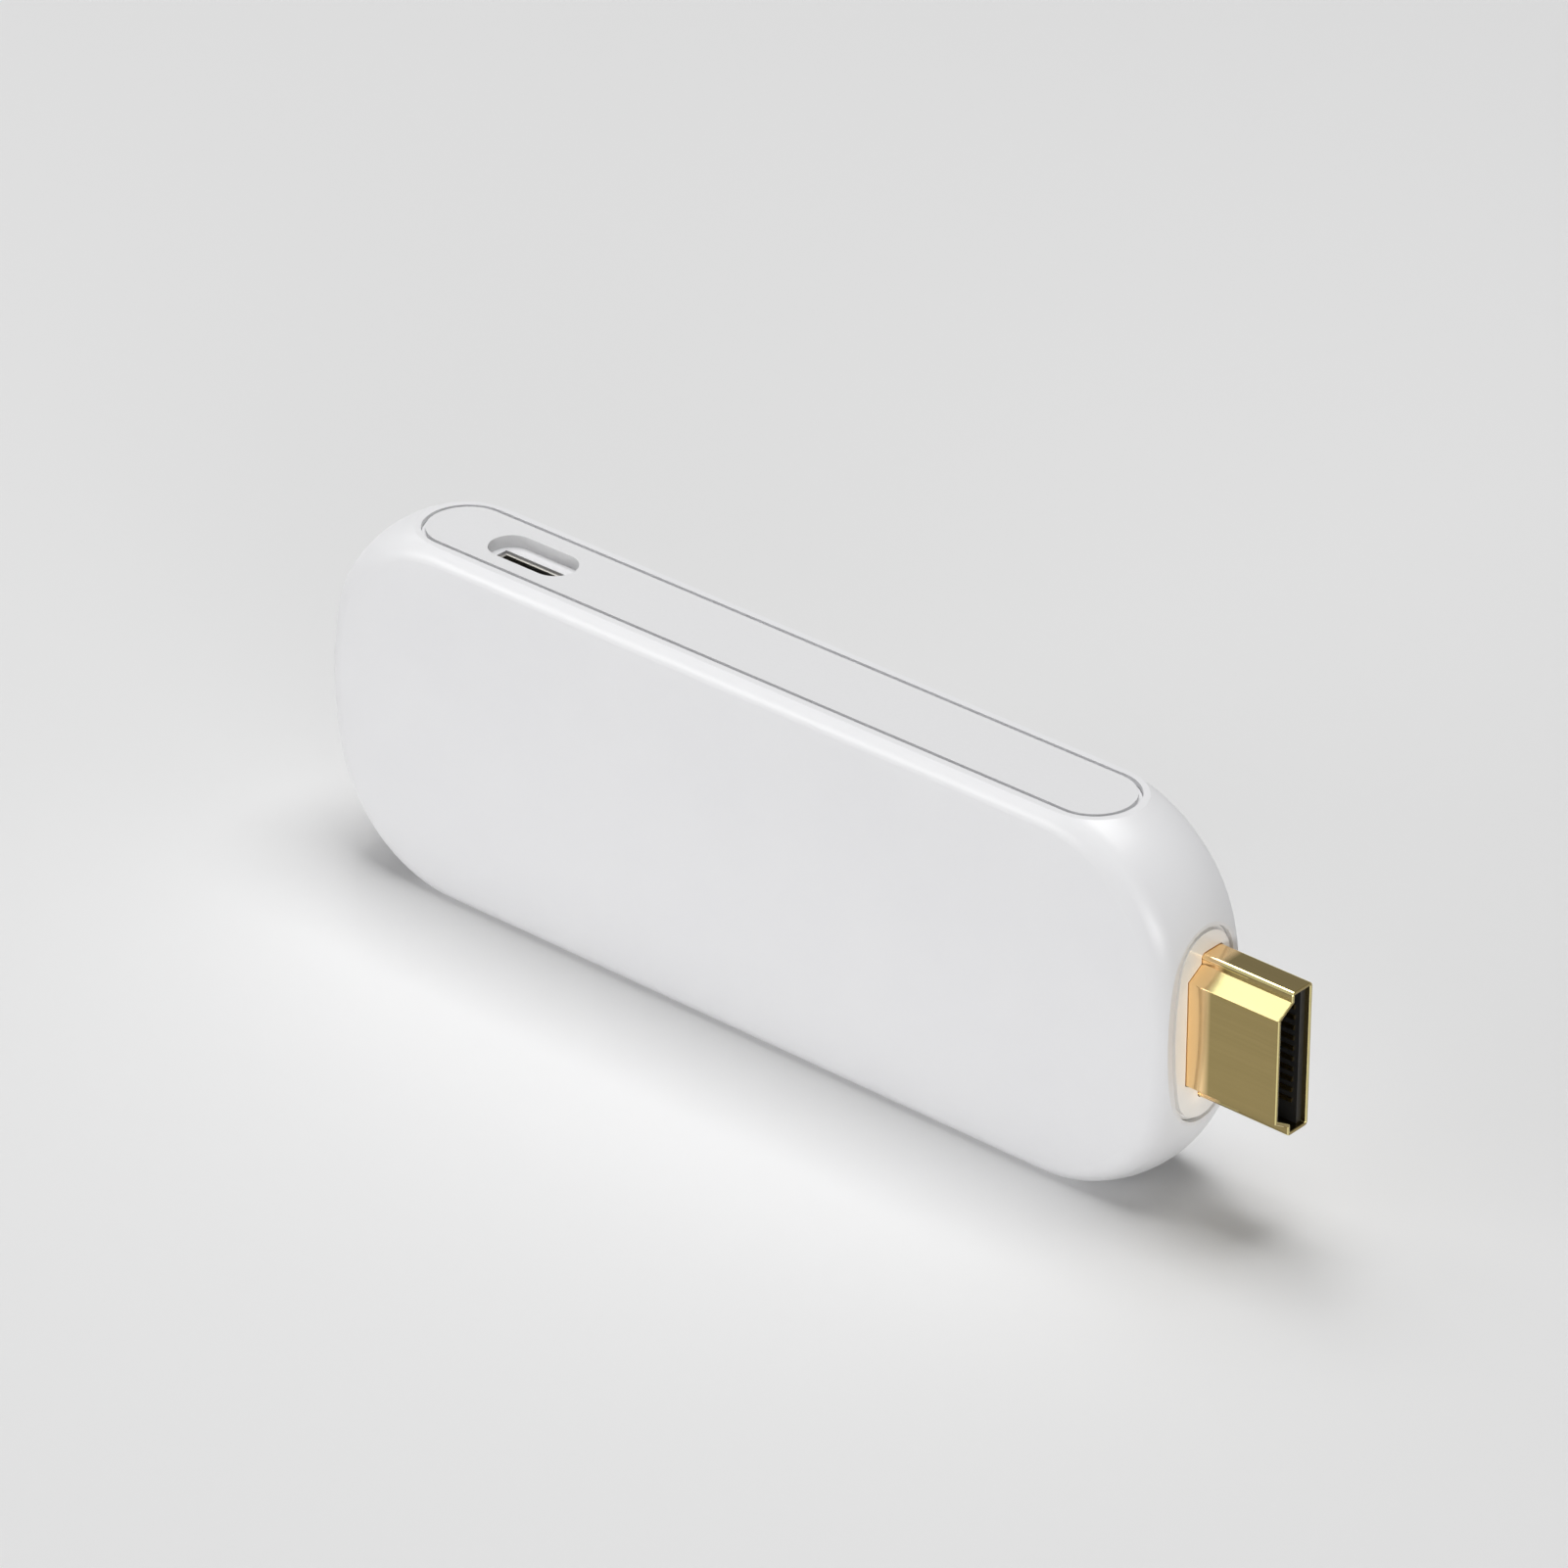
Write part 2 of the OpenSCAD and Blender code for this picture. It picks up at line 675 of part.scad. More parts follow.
module board_screws() color("silver") standing()
    for (place = boss_place_shares)
        translate([on_board(place)[0], board_back + screw_head_height, on_board(place)[1]]) rotate([90, 0, 0])
            difference() {
                union() {
                    cylinder(d = screw_head, h = screw_head_height);
                    cylinder(d = screw_diameter, h = screw_head_height + screw_length);
                }
                for (turn = [0, 90]) rotate([0, 0, turn])
                    cube([recess_length, recess_width, 2 * recess_depth], center = true);
            }

main_housing();
rear_cover();
side_panel();
plug_bezel();
main_board();
hdmi_shell();
hdmi_insulator();
hdmi_contacts();
usb_shell();
usb_insulator();
usb_contacts();
processor();
memory_chips();
storage_chip();
power_controller();
power_inductors();
ceramic_capacitors();
system_crystal();
port_protectors();
wifi_board();
wifi_shield();
wifi_antenna();
thermal_pad();
heat_spreader();
board_screws();
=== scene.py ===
"""Looks of the TV stick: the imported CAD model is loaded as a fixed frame, each piece gets the finish of
the real one, and the stick stands on a pale floor under soft studio light."""

import math

import bpy
from mathutils import Matrix, Vector


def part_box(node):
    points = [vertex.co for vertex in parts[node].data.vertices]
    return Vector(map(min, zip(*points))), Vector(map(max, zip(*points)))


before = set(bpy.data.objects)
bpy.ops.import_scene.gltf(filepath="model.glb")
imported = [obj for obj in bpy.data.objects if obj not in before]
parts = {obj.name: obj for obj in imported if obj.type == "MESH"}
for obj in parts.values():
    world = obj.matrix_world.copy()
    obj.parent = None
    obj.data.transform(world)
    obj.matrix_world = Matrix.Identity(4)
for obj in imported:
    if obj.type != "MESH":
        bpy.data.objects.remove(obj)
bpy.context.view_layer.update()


# MAIN HOUSING
# The tub of the stick, with soft edges all round: white ABS, injection moulded in an eroded tool, so
# that it comes out satin. The other pieces go into it, and its front wall carries the board's bosses.

def linear(code, alpha=1.0):
    """An sRGB hex colour as the linear colour that Blender's sockets take."""
    shares = [int(code[i:i + 2], 16) / 255 for i in (0, 2, 4)]
    return tuple(s / 12.92 if s <= 0.04045 else ((s + 0.055) / 1.055) ** 2.4 for s in shares) + (alpha,)


def node(material, kind, sets=None, links=None):
    """Adds one node: sets are values of its settings or inputs, links are the sockets that feed it."""
    made = material.node_tree.nodes.new("ShaderNode" + kind)
    for key, value in (sets or {}).items():
        if isinstance(key, str) and hasattr(made, key) and key not in made.inputs:
            setattr(made, key, value)
        else:
            made.inputs[key].default_value = value
    for key, socket in (links or {}).items():
        material.node_tree.links.new(socket, made.inputs[key])
    return made


def new_material(name):
    """An empty node material, and the place of each point in metres."""
    made = bpy.data.materials.new(name)
    made.use_nodes = True
    made.node_tree.nodes.clear()
    return made, node(made, "TexCoord").outputs["Object"]


def dress(material, names):
    """Puts a material on the CAD nodes it belongs to."""
    for name in names:
        parts[name].data.materials.clear()
        parts[name].data.materials.append(material)


def finish(material, names, shader):
    """Ends a material in its shader and dresses CAD nodes in it."""
    node(material, "OutputMaterial", links={"Surface": shader.outputs["BSDF"]})
    dress(material, names)


# Eroded grain of the tool, drawn at 0.35 mm instead of the real 0.05 mm so that it shows, and a trace
# of uneven gloss and tone where the melt flowed, 9 mm long.
abs_satin, place = new_material("abs_white_satin")
grain = node(abs_satin, "TexNoise", {"Scale": 1000 / 0.35, "Detail": 3.0, "Roughness": 0.6},
             {"Vector": place})
flow = node(abs_satin, "TexNoise", {"Scale": 1000 / 9.0, "Detail": 2.0}, {"Vector": place})
tint = node(abs_satin, "Mix", {"data_type": "RGBA", 6: linear("ededef"), 7: linear("f1f1f2")},
            {0: flow.outputs["Fac"]})
gloss = node(abs_satin, "MapRange", {"To Min": 0.3, "To Max": 0.38}, {"Value": flow.outputs["Fac"]})
relief = node(abs_satin, "Bump", {"Strength": 0.02, "Distance": 0.00002}, {"Height": grain.outputs["Fac"]})
finish(abs_satin, ["main_housing"], node(
    abs_satin, "BsdfPrincipled", {"IOR": 1.54},
    {"Base Color": tint.outputs[2], "Roughness": gloss.outputs["Result"],
     "Normal": relief.outputs["Normal"]}))


# REAR COVER
# The flat back of the stick, a shallow moulding of the same white ABS from the same kind of tool. Its
# lip goes into the tub and snaps behind six ridges, so nothing but a seam line shows outside.
dress(abs_satin, ["rear_cover"])


# SIDE PANEL
# A thin strip moulded in ABS and glued into its recess in the narrow side that faces up. Its tool was
# blasted, so that it is more matt than the housing and takes a slightly greyer white.
abs_matt, place = new_material("abs_white_matt")
grain = node(abs_matt, "TexNoise", {"Scale": 1000 / 0.25, "Detail": 3.0}, {"Vector": place})
tint = node(abs_matt, "Mix", {"data_type": "RGBA", 6: linear("e7e7e8"), 7: linear("ebebec")},
            {0: grain.outputs["Fac"]})
relief = node(abs_matt, "Bump", {"Strength": 0.04, "Distance": 0.00002}, {"Height": grain.outputs["Fac"]})
finish(abs_matt, ["side_panel"], node(
    abs_matt, "BsdfPrincipled", {"IOR": 1.54, "Roughness": 0.42},
    {"Base Color": tint.outputs[2], "Normal": relief.outputs["Normal"]}))


# PLUG BEZEL
# The oval insert round the plug, moulded in a warmer white with a polished face. It lies on a shelf of
# the housing and keeps dust out round the plug's shell.
abs_gloss, place = new_material("abs_warm_white_gloss")
flow = node(abs_gloss, "TexNoise", {"Scale": 1000 / 4.0, "Detail": 2.0}, {"Vector": place})
tint = node(abs_gloss, "Mix", {"data_type": "RGBA", 6: linear("faf8f5"), 7: linear("fcfbf9")},
            {0: flow.outputs["Fac"]})
finish(abs_gloss, ["plug_bezel"], node(
    abs_gloss, "BsdfPrincipled", {"IOR": 1.54, "Roughness": 0.18}, {"Base Color": tint.outputs[2]}))


# HDMI PLUG
# The shell is folded from steel sheet and gold plated, with small radii where the sheet is bent. The
# insulator in it is moulded from black LCP, and its nineteen blades are gold flashed bronze.

def soften(name, radius_mm):
    """Rounds a CAD node's sharp edges by a small radius, as bending leaves them."""
    weld = parts[name].modifiers.new("joined_faces", "WELD")
    weld.merge_threshold = 0.000001
    bevel = parts[name].modifiers.new("soft_edges", "BEVEL")
    bevel.width, bevel.segments = radius_mm / 1000, 3
    bevel.use_clamp_overlap = False
    bevel.limit_method, bevel.angle_limit = "ANGLE", math.radians(35)


# Burnished plate: a mirror with faint lines along the draw of the sheet, 0.3 mm apart. The slants and bends
# get a painted highlight, paler than the flats, and the last 2 mm at the root a painted orange reflection.
gold_plate, place = new_material("gold_plate_burnished")
drawn = node(gold_plate, "Mapping", {"Scale": (40.0, 1000 / 0.3, 1000 / 0.3)}, {"Vector": place})
lines = node(gold_plate, "TexNoise", {"Scale": 1.0, "Detail": 2.0}, {"Vector": drawn.outputs["Vector"]})
flats = node(gold_plate, "Mix", {"data_type": "RGBA", 6: linear("958558"), 7: linear("a18f60")},
             {0: lines.outputs["Fac"]})
faces = node(gold_plate, "SeparateXYZ", links={"Vector": node(gold_plate, "NewGeometry").outputs["Normal"]})
# Painted highlight: faces that lean between the narrow and the broad sides, the slants and bent edges, are
# painted pale gold.
lean = node(gold_plate, "Math", {"operation": "ABSOLUTE"}, {0: faces.outputs["Y"]})
off_narrow = node(gold_plate, "Math", {"operation": "GREATER_THAN", 1: 0.2}, {0: lean.outputs[0]})
off_wide = node(gold_plate, "Math", {"operation": "LESS_THAN", 1: 0.9}, {0: lean.outputs[0]})
slant_highlight_mask = node(gold_plate, "Math", {"operation": "MULTIPLY"},
             {0: off_narrow.outputs[0], 1: off_wide.outputs[0]})
slant_painted_highlight = node(gold_plate, "Mix", {"data_type": "RGBA", 7: linear("f4e6a4")},
              {0: slant_highlight_mask.outputs[0], 6: flats.outputs[2]})
axes = node(gold_plate, "SeparateXYZ", links={"Vector": place})
# Painted reflection: within about 2 mm of the bezel the shell is painted orange, as the white bezel and the
# housing's end would mirror in it.
bezel_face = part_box("plug_bezel")[1][0]
reflection_ends, reflection_starts_to_fade = bezel_face + 0.0024, bezel_face + 0.0016
root_painted_reflection = node(gold_plate, "MapRange", {"From Min": reflection_ends, "From Max": reflection_starts_to_fade},
            {"Value": axes.outputs["X"]})
tint = node(gold_plate, "Mix", {"data_type": "RGBA", 7: linear("ffdba3")},
            {0: root_painted_reflection.outputs["Result"], 6: slant_painted_highlight.outputs[2]})
gloss = node(gold_plate, "MapRange", {"To Min": 0.1, "To Max": 0.18}, {"Value": lines.outputs["Fac"]})
finish(gold_plate, ["hdmi_shell"], node(
    gold_plate, "BsdfPrincipled", {"Metallic": 1.0},
    {"Base Color": tint.outputs[2], "Roughness": gloss.outputs["Result"]}))
soften("hdmi_shell", 0.12)

# Glass-filled LCP: near black with paler fibres, 0.4 mm long, at the skin.
lcp_black, place = new_material("lcp_black_moulded")
fibre = node(lcp_black, "TexNoise", {"Scale": 1000 / 0.4, "Detail": 4.0, "Roughness": 0.7}, {"Vector": place})
tint = node(lcp_black, "Mix", {"data_type": "RGBA", 6: linear("141415"), 7: linear("242425")},
            {0: fibre.outputs["Fac"]})
finish(lcp_black, ["hdmi_insulator"], node(
    lcp_black, "BsdfPrincipled", {"IOR": 1.6, "Roughness": 0.5}, {"Base Color": tint.outputs[2]}))

# Thin gold over nickel on bronze: a little mottled, duller than the shell.
gold_flash, place = new_material("gold_flash_on_bronze")
mottle = node(gold_flash, "TexNoise", {"Scale": 1000 / 0.5, "Detail": 2.0}, {"Vector": place})
tint = node(gold_flash, "Mix", {"data_type": "RGBA", 6: linear("8d7a4a"), 7: linear("a08c58")},
            {0: mottle.outputs["Fac"]})
finish(gold_flash, ["hdmi_contacts"], node(
    gold_flash, "BsdfPrincipled", {"Metallic": 1.0, "Roughness": 0.3}, {"Base Color": tint.outputs[2]}))


# POWER SOCKET
# A pressed steel shell with nickel plate, a black moulded tongue in it and five gold flashed blades.
# It sits in a notch of the board and opens into the side panel.
nickel_plate, place = new_material("nickel_plate_satin")
mottle = node(nickel_plate, "TexNoise", {"Scale": 1000 / 0.6, "Detail": 3.0}, {"Vector": place})
tint = node(nickel_plate, "Mix", {"data_type": "RGBA", 6: linear("c4c1ba"), 7: linear("d8d5cf")},
            {0: mottle.outputs["Fac"]})
finish(nickel_plate, ["usb_shell"], node(
    nickel_plate, "BsdfPrincipled", {"Metallic": 1.0, "Roughness": 0.24}, {"Base Color": tint.outputs[2]}))
soften("usb_shell", 0.08)
dress(lcp_black, ["usb_insulator"])
dress(gold_flash, ["usb_contacts"])


# MAIN BOARD
# Four-layer glass epoxy, 1 mm thick, under green solder mask. Tracks and planes of copper show through
# the mask as paler green, vias are tinned, and the routed edge shows the bare yellowish laminate.

def square_tracks(material, place, pitch_mm, patch_mm, filled):
    """Where copper lies: 1 on tracks that run along X in some patches and along Z in others, and on
    whole planes in the share of patches that is filled."""
    axes = node(material, "SeparateXYZ", links={"Vector": place})
    flat = node(material, "CombineXYZ", links={"X": axes.outputs["X"], "Y": axes.outputs["Z"]})
    patch = node(material, "TexVoronoi", {"voronoi_dimensions": "2D", "distance": "CHEBYCHEV",
                                         "Scale": 1000 / patch_mm}, {"Vector": flat.outputs["Vector"]})
    chance = node(material, "SeparateColor", links={"Color": patch.outputs["Color"]})
    upright = node(material, "Math", {"operation": "GREATER_THAN", 1: 0.5}, {0: chance.outputs["Red"]})
    across = node(material, "Mix", {"data_type": "FLOAT"},
                  {0: upright.outputs[0], 2: axes.outputs["X"], 3: axes.outputs["Z"]})
    steps = node(material, "Math", {"operation": "MULTIPLY", 1: 1000 / pitch_mm}, {0: across.outputs[0]})
    phase = node(material, "Math", {"operation": "FRACT"}, {0: steps.outputs[0]})
    track = node(material, "Math", {"operation": "GREATER_THAN", 1: 0.55}, {0: phase.outputs[0]})
    plane = node(material, "Math", {"operation": "LESS_THAN", 1: filled}, {0: chance.outputs["Green"]})
    return node(material, "Math", {"operation": "MAXIMUM"}, {0: track.outputs[0], 1: plane.outputs[0]})


# Tracks are 0.25 mm wide on a pitch of 0.55 mm, and vias 0.5 mm across on a grid of about 3 mm.
mask_green, place = new_material("solder_mask_green_on_fr4")
copper = square_tracks(mask_green, place, 0.55, 5.0, 0.4)
under = node(mask_green, "Mix", {"data_type": "RGBA", 6: linear("0d4a2a"), 7: linear("1c6b3e")},
             {0: copper.outputs[0]})
spots = node(mask_green, "TexVoronoi", {"Scale": 1000 / 3.0, "Randomness": 0.7}, {"Vector": place})
via = node(mask_green, "Math", {"operation": "LESS_THAN", 1: 0.085}, {0: spots.outputs["Distance"]})
faces = node(mask_green, "SeparateXYZ", links={"Vector": node(mask_green, "NewGeometry").outputs["Normal"]})
broad = node(mask_green, "Math", {"operation": "ABSOLUTE"}, {0: faces.outputs["Y"]})
edge = node(mask_green, "Math", {"operation": "LESS_THAN", 1: 0.5}, {0: broad.outputs[0]})
tinned = node(mask_green, "Mix", {"data_type": "RGBA", 7: linear("c9c8c0")},
              {0: via.outputs[0], 6: under.outputs[2]})
tint = node(mask_green, "Mix", {"data_type": "RGBA", 7: linear("a79c5c")},
            {0: edge.outputs[0], 6: tinned.outputs[2]})
relief = node(mask_green, "Bump", {"Strength": 0.4, "Distance": 0.00003}, {"Height": copper.outputs[0]})
finish(mask_green, ["main_board"], node(
    mask_green, "BsdfPrincipled", {"IOR": 1.55, "Roughness": 0.28},
    {"Base Color": tint.outputs[2], "Normal": relief.outputs["Normal"]}))


# CHIPS
# The processor, the two memory chips and the storage chip are ball grid packages: a cap of black
# epoxy moulded on a small green board. The power controller is a flat package with tinned leads at
# the foot of its sides. Each has a round mould mark at the corner of its first lead.

def moulded_package(name, nodes, foot_mm, foot_colour, mark):
    """Black epoxy with a fine mineral grain, another colour up to foot_mm above the board, and a mark
    of 0.5 mm radius at mark, its X and its distance in Z from the middle of the board."""
    epoxy, place = new_material(name)
    grain = node(epoxy, "TexNoise", {"Scale": 1000 / 0.15, "Detail": 3.0}, {"Vector": place})
    cap = node(epoxy, "Mix", {"data_type": "RGBA", 6: linear("1b1b1c"), 7: linear("2a2a2b")},
               {0: grain.outputs["Fac"]})
    axes = node(epoxy, "SeparateXYZ", links={"Vector": place})
    height = node(epoxy, "Math", {"operation": "ABSOLUTE"}, {0: axes.outputs["Y"]})
    foot = node(epoxy, "Math", {"operation": "LESS_THAN", 1: (0.5 + foot_mm) / 1000}, {0: height.outputs[0]})
    row = node(epoxy, "Math", {"operation": "SUBTRACT", 1: board_middle}, {0: axes.outputs["Z"]})
    level = node(epoxy, "Math", {"operation": "ABSOLUTE"}, {0: row.outputs[0]})
    point = node(epoxy, "CombineXYZ", links={"X": axes.outputs["X"], "Y": level.outputs[0]})
    reach = node(epoxy, "VectorMath", {"operation": "DISTANCE", 1: (mark[0], mark[1], 0)},
                 {0: point.outputs["Vector"]})
    dot = node(epoxy, "Math", {"operation": "LESS_THAN", 1: 0.0005}, {0: reach.outputs["Value"]})
    marked = node(epoxy, "Mix", {"data_type": "RGBA", 7: linear("3c3c3d")},
                  {0: dot.outputs[0], 6: cap.outputs[2]})
    tint = node(epoxy, "Mix", {"data_type": "RGBA", 7: linear(foot_colour)},
                {0: foot.outputs[0], 6: marked.outputs[2]})
    relief = node(epoxy, "Bump", {"Strength": 0.3, "Distance": 0.00002}, {"Height": grain.outputs["Fac"]})
    finish(epoxy, nodes, node(
        epoxy, "BsdfPrincipled", {"IOR": 1.55, "Roughness": 0.5},
        {"Base Color": tint.outputs[2], "Normal": relief.outputs["Normal"]}))


def corner_mark(name):
    """Place of a mark 1.2 mm in from the corner of a node that is highest in Z and lowest in X."""
    low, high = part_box(name)
    return low[0] + 0.0012, high[2] - 0.0012 - board_middle


low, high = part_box("main_board")
board_middle = (low[2] + high[2]) / 2
moulded_package("epoxy_black_on_bt_laminate", ["processor"], 0.3, "2f5a36", corner_mark("processor"))
moulded_package("epoxy_black_memory", ["memory_chips"], 0.25, "2f5a36", corner_mark("memory_chips"))
moulded_package("epoxy_black_storage", ["storage_chip"], 0.25, "2f5a36", corner_mark("storage_chip"))
moulded_package("epoxy_black_with_tinned_leads", ["power_controller"], 0.2, "b9b8b2",
                corner_mark("power_controller"))


# POWER COILS
# Three shielded coils: a drum of pressed grey ferrite on a square foot with tinned ends.
ferrite, place = new_material("ferrite_grey_pressed")
grain = node(ferrite, "TexNoise", {"Scale": 1000 / 0.2, "Detail": 4.0}, {"Vector": place})
body = node(ferrite, "Mix", {"data_type": "RGBA", 6: linear("3a3a3c"), 7: linear("525254")},
            {0: grain.outputs["Fac"]})
axes = node(ferrite, "SeparateXYZ", links={"Vector": place})
low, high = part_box("power_inductors")
aside = node(ferrite, "Math", {"operation": "SUBTRACT", 1: (low[0] + high[0]) / 2}, {0: axes.outputs["X"]})
reach = node(ferrite, "Math", {"operation": "ABSOLUTE"}, {0: aside.outputs[0]})
far = node(ferrite, "Math", {"operation": "GREATER_THAN", 1: 0.0013}, {0: reach.outputs[0]})
low_down = node(ferrite, "Math", {"operation": "GREATER_THAN", 1: high[1] - 0.00041}, {0: axes.outputs["Y"]})
tinned = node(ferrite, "Math", {"operation": "MULTIPLY"}, {0: far.outputs[0], 1: low_down.outputs[0]})
tint = node(ferrite, "Mix", {"data_type": "RGBA", 7: linear("c4c3bd")},
            {0: tinned.outputs[0], 6: body.outputs[2]})
relief = node(ferrite, "Bump", {"Strength": 0.4, "Distance": 0.00003}, {"Height": grain.outputs["Fac"]})
finish(ferrite, ["power_inductors"], node(
    ferrite, "BsdfPrincipled", {"IOR": 1.6, "Roughness": 0.6},
    {"Base Color": tint.outputs[2], "Normal": relief.outputs["Normal"]}))


# CERAMIC CAPACITORS
# Twelve fired blocks of tan dielectric, 1.6 mm long, with 0.3 mm of tin dipped on each end.
dielectric, place = new_material("ceramic_tan_with_tin_ends")
grain = node(dielectric, "TexNoise", {"Scale": 1000 / 0.2, "Detail": 3.0}, {"Vector": place})
body = node(dielectric, "Mix", {"data_type": "RGBA", 6: linear("a8814f"), 7: linear("b98f5a")},
            {0: grain.outputs["Fac"]})
low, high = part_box("ceramic_capacitors")
axes = node(dielectric, "SeparateXYZ", links={"Vector": place})
start = node(dielectric, "Math", {"operation": "SUBTRACT", 1: low[0]}, {0: axes.outputs["X"]})
along = node(dielectric, "Math", {"operation": "MODULO", 1: (high[0] - low[0] - 0.0016) / 3},
             {0: start.outputs[0]})
middle = node(dielectric, "Math", {"operation": "SUBTRACT", 1: 0.0008}, {0: along.outputs[0]})
reach = node(dielectric, "Math", {"operation": "ABSOLUTE"}, {0: middle.outputs[0]})
end = node(dielectric, "Math", {"operation": "GREATER_THAN", 1: 0.0005}, {0: reach.outputs[0]})
tint = node(dielectric, "Mix", {"data_type": "RGBA", 7: linear("cfcdc6")},
            {0: end.outputs[0], 6: body.outputs[2]})
finish(dielectric, ["ceramic_capacitors"], node(
    dielectric, "BsdfPrincipled", {"IOR": 1.6, "Roughness": 0.4}, {"Base Color": tint.outputs[2]}))


# SYSTEM CRYSTAL
# A seam-welded nickel lid, 0.15 mm thick, on a trough of dark brown ceramic.
lid_on_ceramic, place = new_material("nickel_lid_on_ceramic")
scuff = node(lid_on_ceramic, "TexNoise", {"Scale": 1000 / 0.3, "Detail": 3.0}, {"Vector": place})
lid = node(lid_on_ceramic, "Mix", {"data_type": "RGBA", 6: linear("b4b1a9"), 7: linear("c9c6be")},
           {0: scuff.outputs["Fac"]})
axes = node(lid_on_ceramic, "SeparateXYZ", links={"Vector": place})
low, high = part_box("system_crystal")
base = node(lid_on_ceramic, "Math", {"operation": "GREATER_THAN", 1: low[1] + 0.00015},
            {0: axes.outputs["Y"]})
tint = node(lid_on_ceramic, "Mix", {"data_type": "RGBA", 7: linear("4a3a30")},
            {0: base.outputs[0], 6: lid.outputs[2]})
metal = node(lid_on_ceramic, "Math", {"operation": "SUBTRACT", 0: 1.0}, {1: base.outputs[0]})
finish(lid_on_ceramic, ["system_crystal"], node(
    lid_on_ceramic, "BsdfPrincipled", {"Roughness": 0.3},
    {"Base Color": tint.outputs[2], "Metallic": metal.outputs[0]}))


# PORT PROTECTORS
# Four small packages between the plug's blades and the processor: black epoxy with tinned ends.
small_epoxy, place = new_material("epoxy_black_with_tinned_ends")
grain = node(small_epoxy, "TexNoise", {"Scale": 1000 / 0.15, "Detail": 3.0}, {"Vector": place})
body = node(small_epoxy, "Mix", {"data_type": "RGBA", 6: linear("1c1c1d"), 7: linear("2b2b2c")},
            {0: grain.outputs["Fac"]})
low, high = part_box("port_protectors")
axes = node(small_epoxy, "SeparateXYZ", links={"Vector": place})
aside = node(small_epoxy, "Math", {"operation": "SUBTRACT", 1: (low[0] + high[0]) / 2},
             {0: axes.outputs["X"]})
reach = node(small_epoxy, "Math", {"operation": "ABSOLUTE"}, {0: aside.outputs[0]})
end = node(small_epoxy, "Math", {"operation": "GREATER_THAN", 1: 0.00095}, {0: reach.outputs[0]})
tint = node(small_epoxy, "Mix", {"data_type": "RGBA", 7: linear("c6c5be")},
            {0: end.outputs[0], 6: body.outputs[2]})
finish(small_epoxy, ["port_protectors"], node(
    small_epoxy, "BsdfPrincipled", {"IOR": 1.55, "Roughness": 0.45}, {"Base Color": tint.outputs[2]}))


# RADIO
# A 12 mm board of its own under blue solder mask, soldered by half-round gold pads along its edges at
# 1.1 mm, with a can of tinned steel over its chip. Its antenna is a fired white block with tinned
# ends and a silver meander, at the end of the stick that is furthest from the television.
mask_blue, place = new_material("solder_mask_blue_on_fr4")
copper = square_tracks(mask_blue, place, 0.45, 3.0, 0.5)
under = node(mask_blue, "Mix", {"data_type": "RGBA", 6: linear("14264f"), 7: linear("21397a")},
             {0: copper.outputs[0]})
low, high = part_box("wifi_board")
axes = node(mask_blue, "SeparateXYZ", links={"Vector": place})
reaches = []
for axis in (0, 2):
    offset = node(mask_blue, "Math", {"operation": "SUBTRACT", 1: (low[axis] + high[axis]) / 2},
                  {0: axes.outputs[axis]})
    reaches.append(node(mask_blue, "Math", {"operation": "ABSOLUTE"}, {0: offset.outputs[0]}))
both = {0: reaches[0].outputs[0], 1: reaches[1].outputs[0]}
outermost = node(mask_blue, "Math", {"operation": "MAXIMUM"}, both)
innermost = node(mask_blue, "Math", {"operation": "MINIMUM"}, both)
rim = node(mask_blue, "Math", {"operation": "GREATER_THAN", 1: 0.0054}, {0: outermost.outputs[0]})
steps = node(mask_blue, "Math", {"operation": "MULTIPLY", 1: 1000 / 1.1}, {0: innermost.outputs[0]})
phase = node(mask_blue, "Math", {"operation": "FRACT"}, {0: steps.outputs[0]})
wide = node(mask_blue, "Math", {"operation": "GREATER_THAN", 1: 0.4}, {0: phase.outputs[0]})
pad = node(mask_blue, "Math", {"operation": "MULTIPLY"}, {0: rim.outputs[0], 1: wide.outputs[0]})
tint = node(mask_blue, "Mix", {"data_type": "RGBA", 7: linear("b79a55")},
            {0: pad.outputs[0], 6: under.outputs[2]})
finish(mask_blue, ["wifi_board"], node(
    mask_blue, "BsdfPrincipled", {"IOR": 1.55, "Roughness": 0.28},
    {"Base Color": tint.outputs[2], "Metallic": pad.outputs[0]}))

# Bright tinned steel, drawn with soft corners: a satin sheen with crystal patches of 2 mm.
tinplate, place = new_material("tinned_steel_drawn")
bloom = node(tinplate, "TexVoronoi", {"feature": "SMOOTH_F1", "Scale": 1000 / 2.0}, {"Vector": place})
tint = node(tinplate, "Mix", {"data_type": "RGBA", 6: linear("c3c3bf"), 7: linear("d6d6d2")},
            {0: bloom.outputs["Distance"]})
gloss = node(tinplate, "MapRange", {"To Min": 0.22, "To Max": 0.36}, {"Value": bloom.outputs["Distance"]})
finish(tinplate, ["wifi_shield"], node(
    tinplate, "BsdfPrincipled", {"Metallic": 1.0},
    {"Base Color": tint.outputs[2], "Roughness": gloss.outputs["Result"]}))

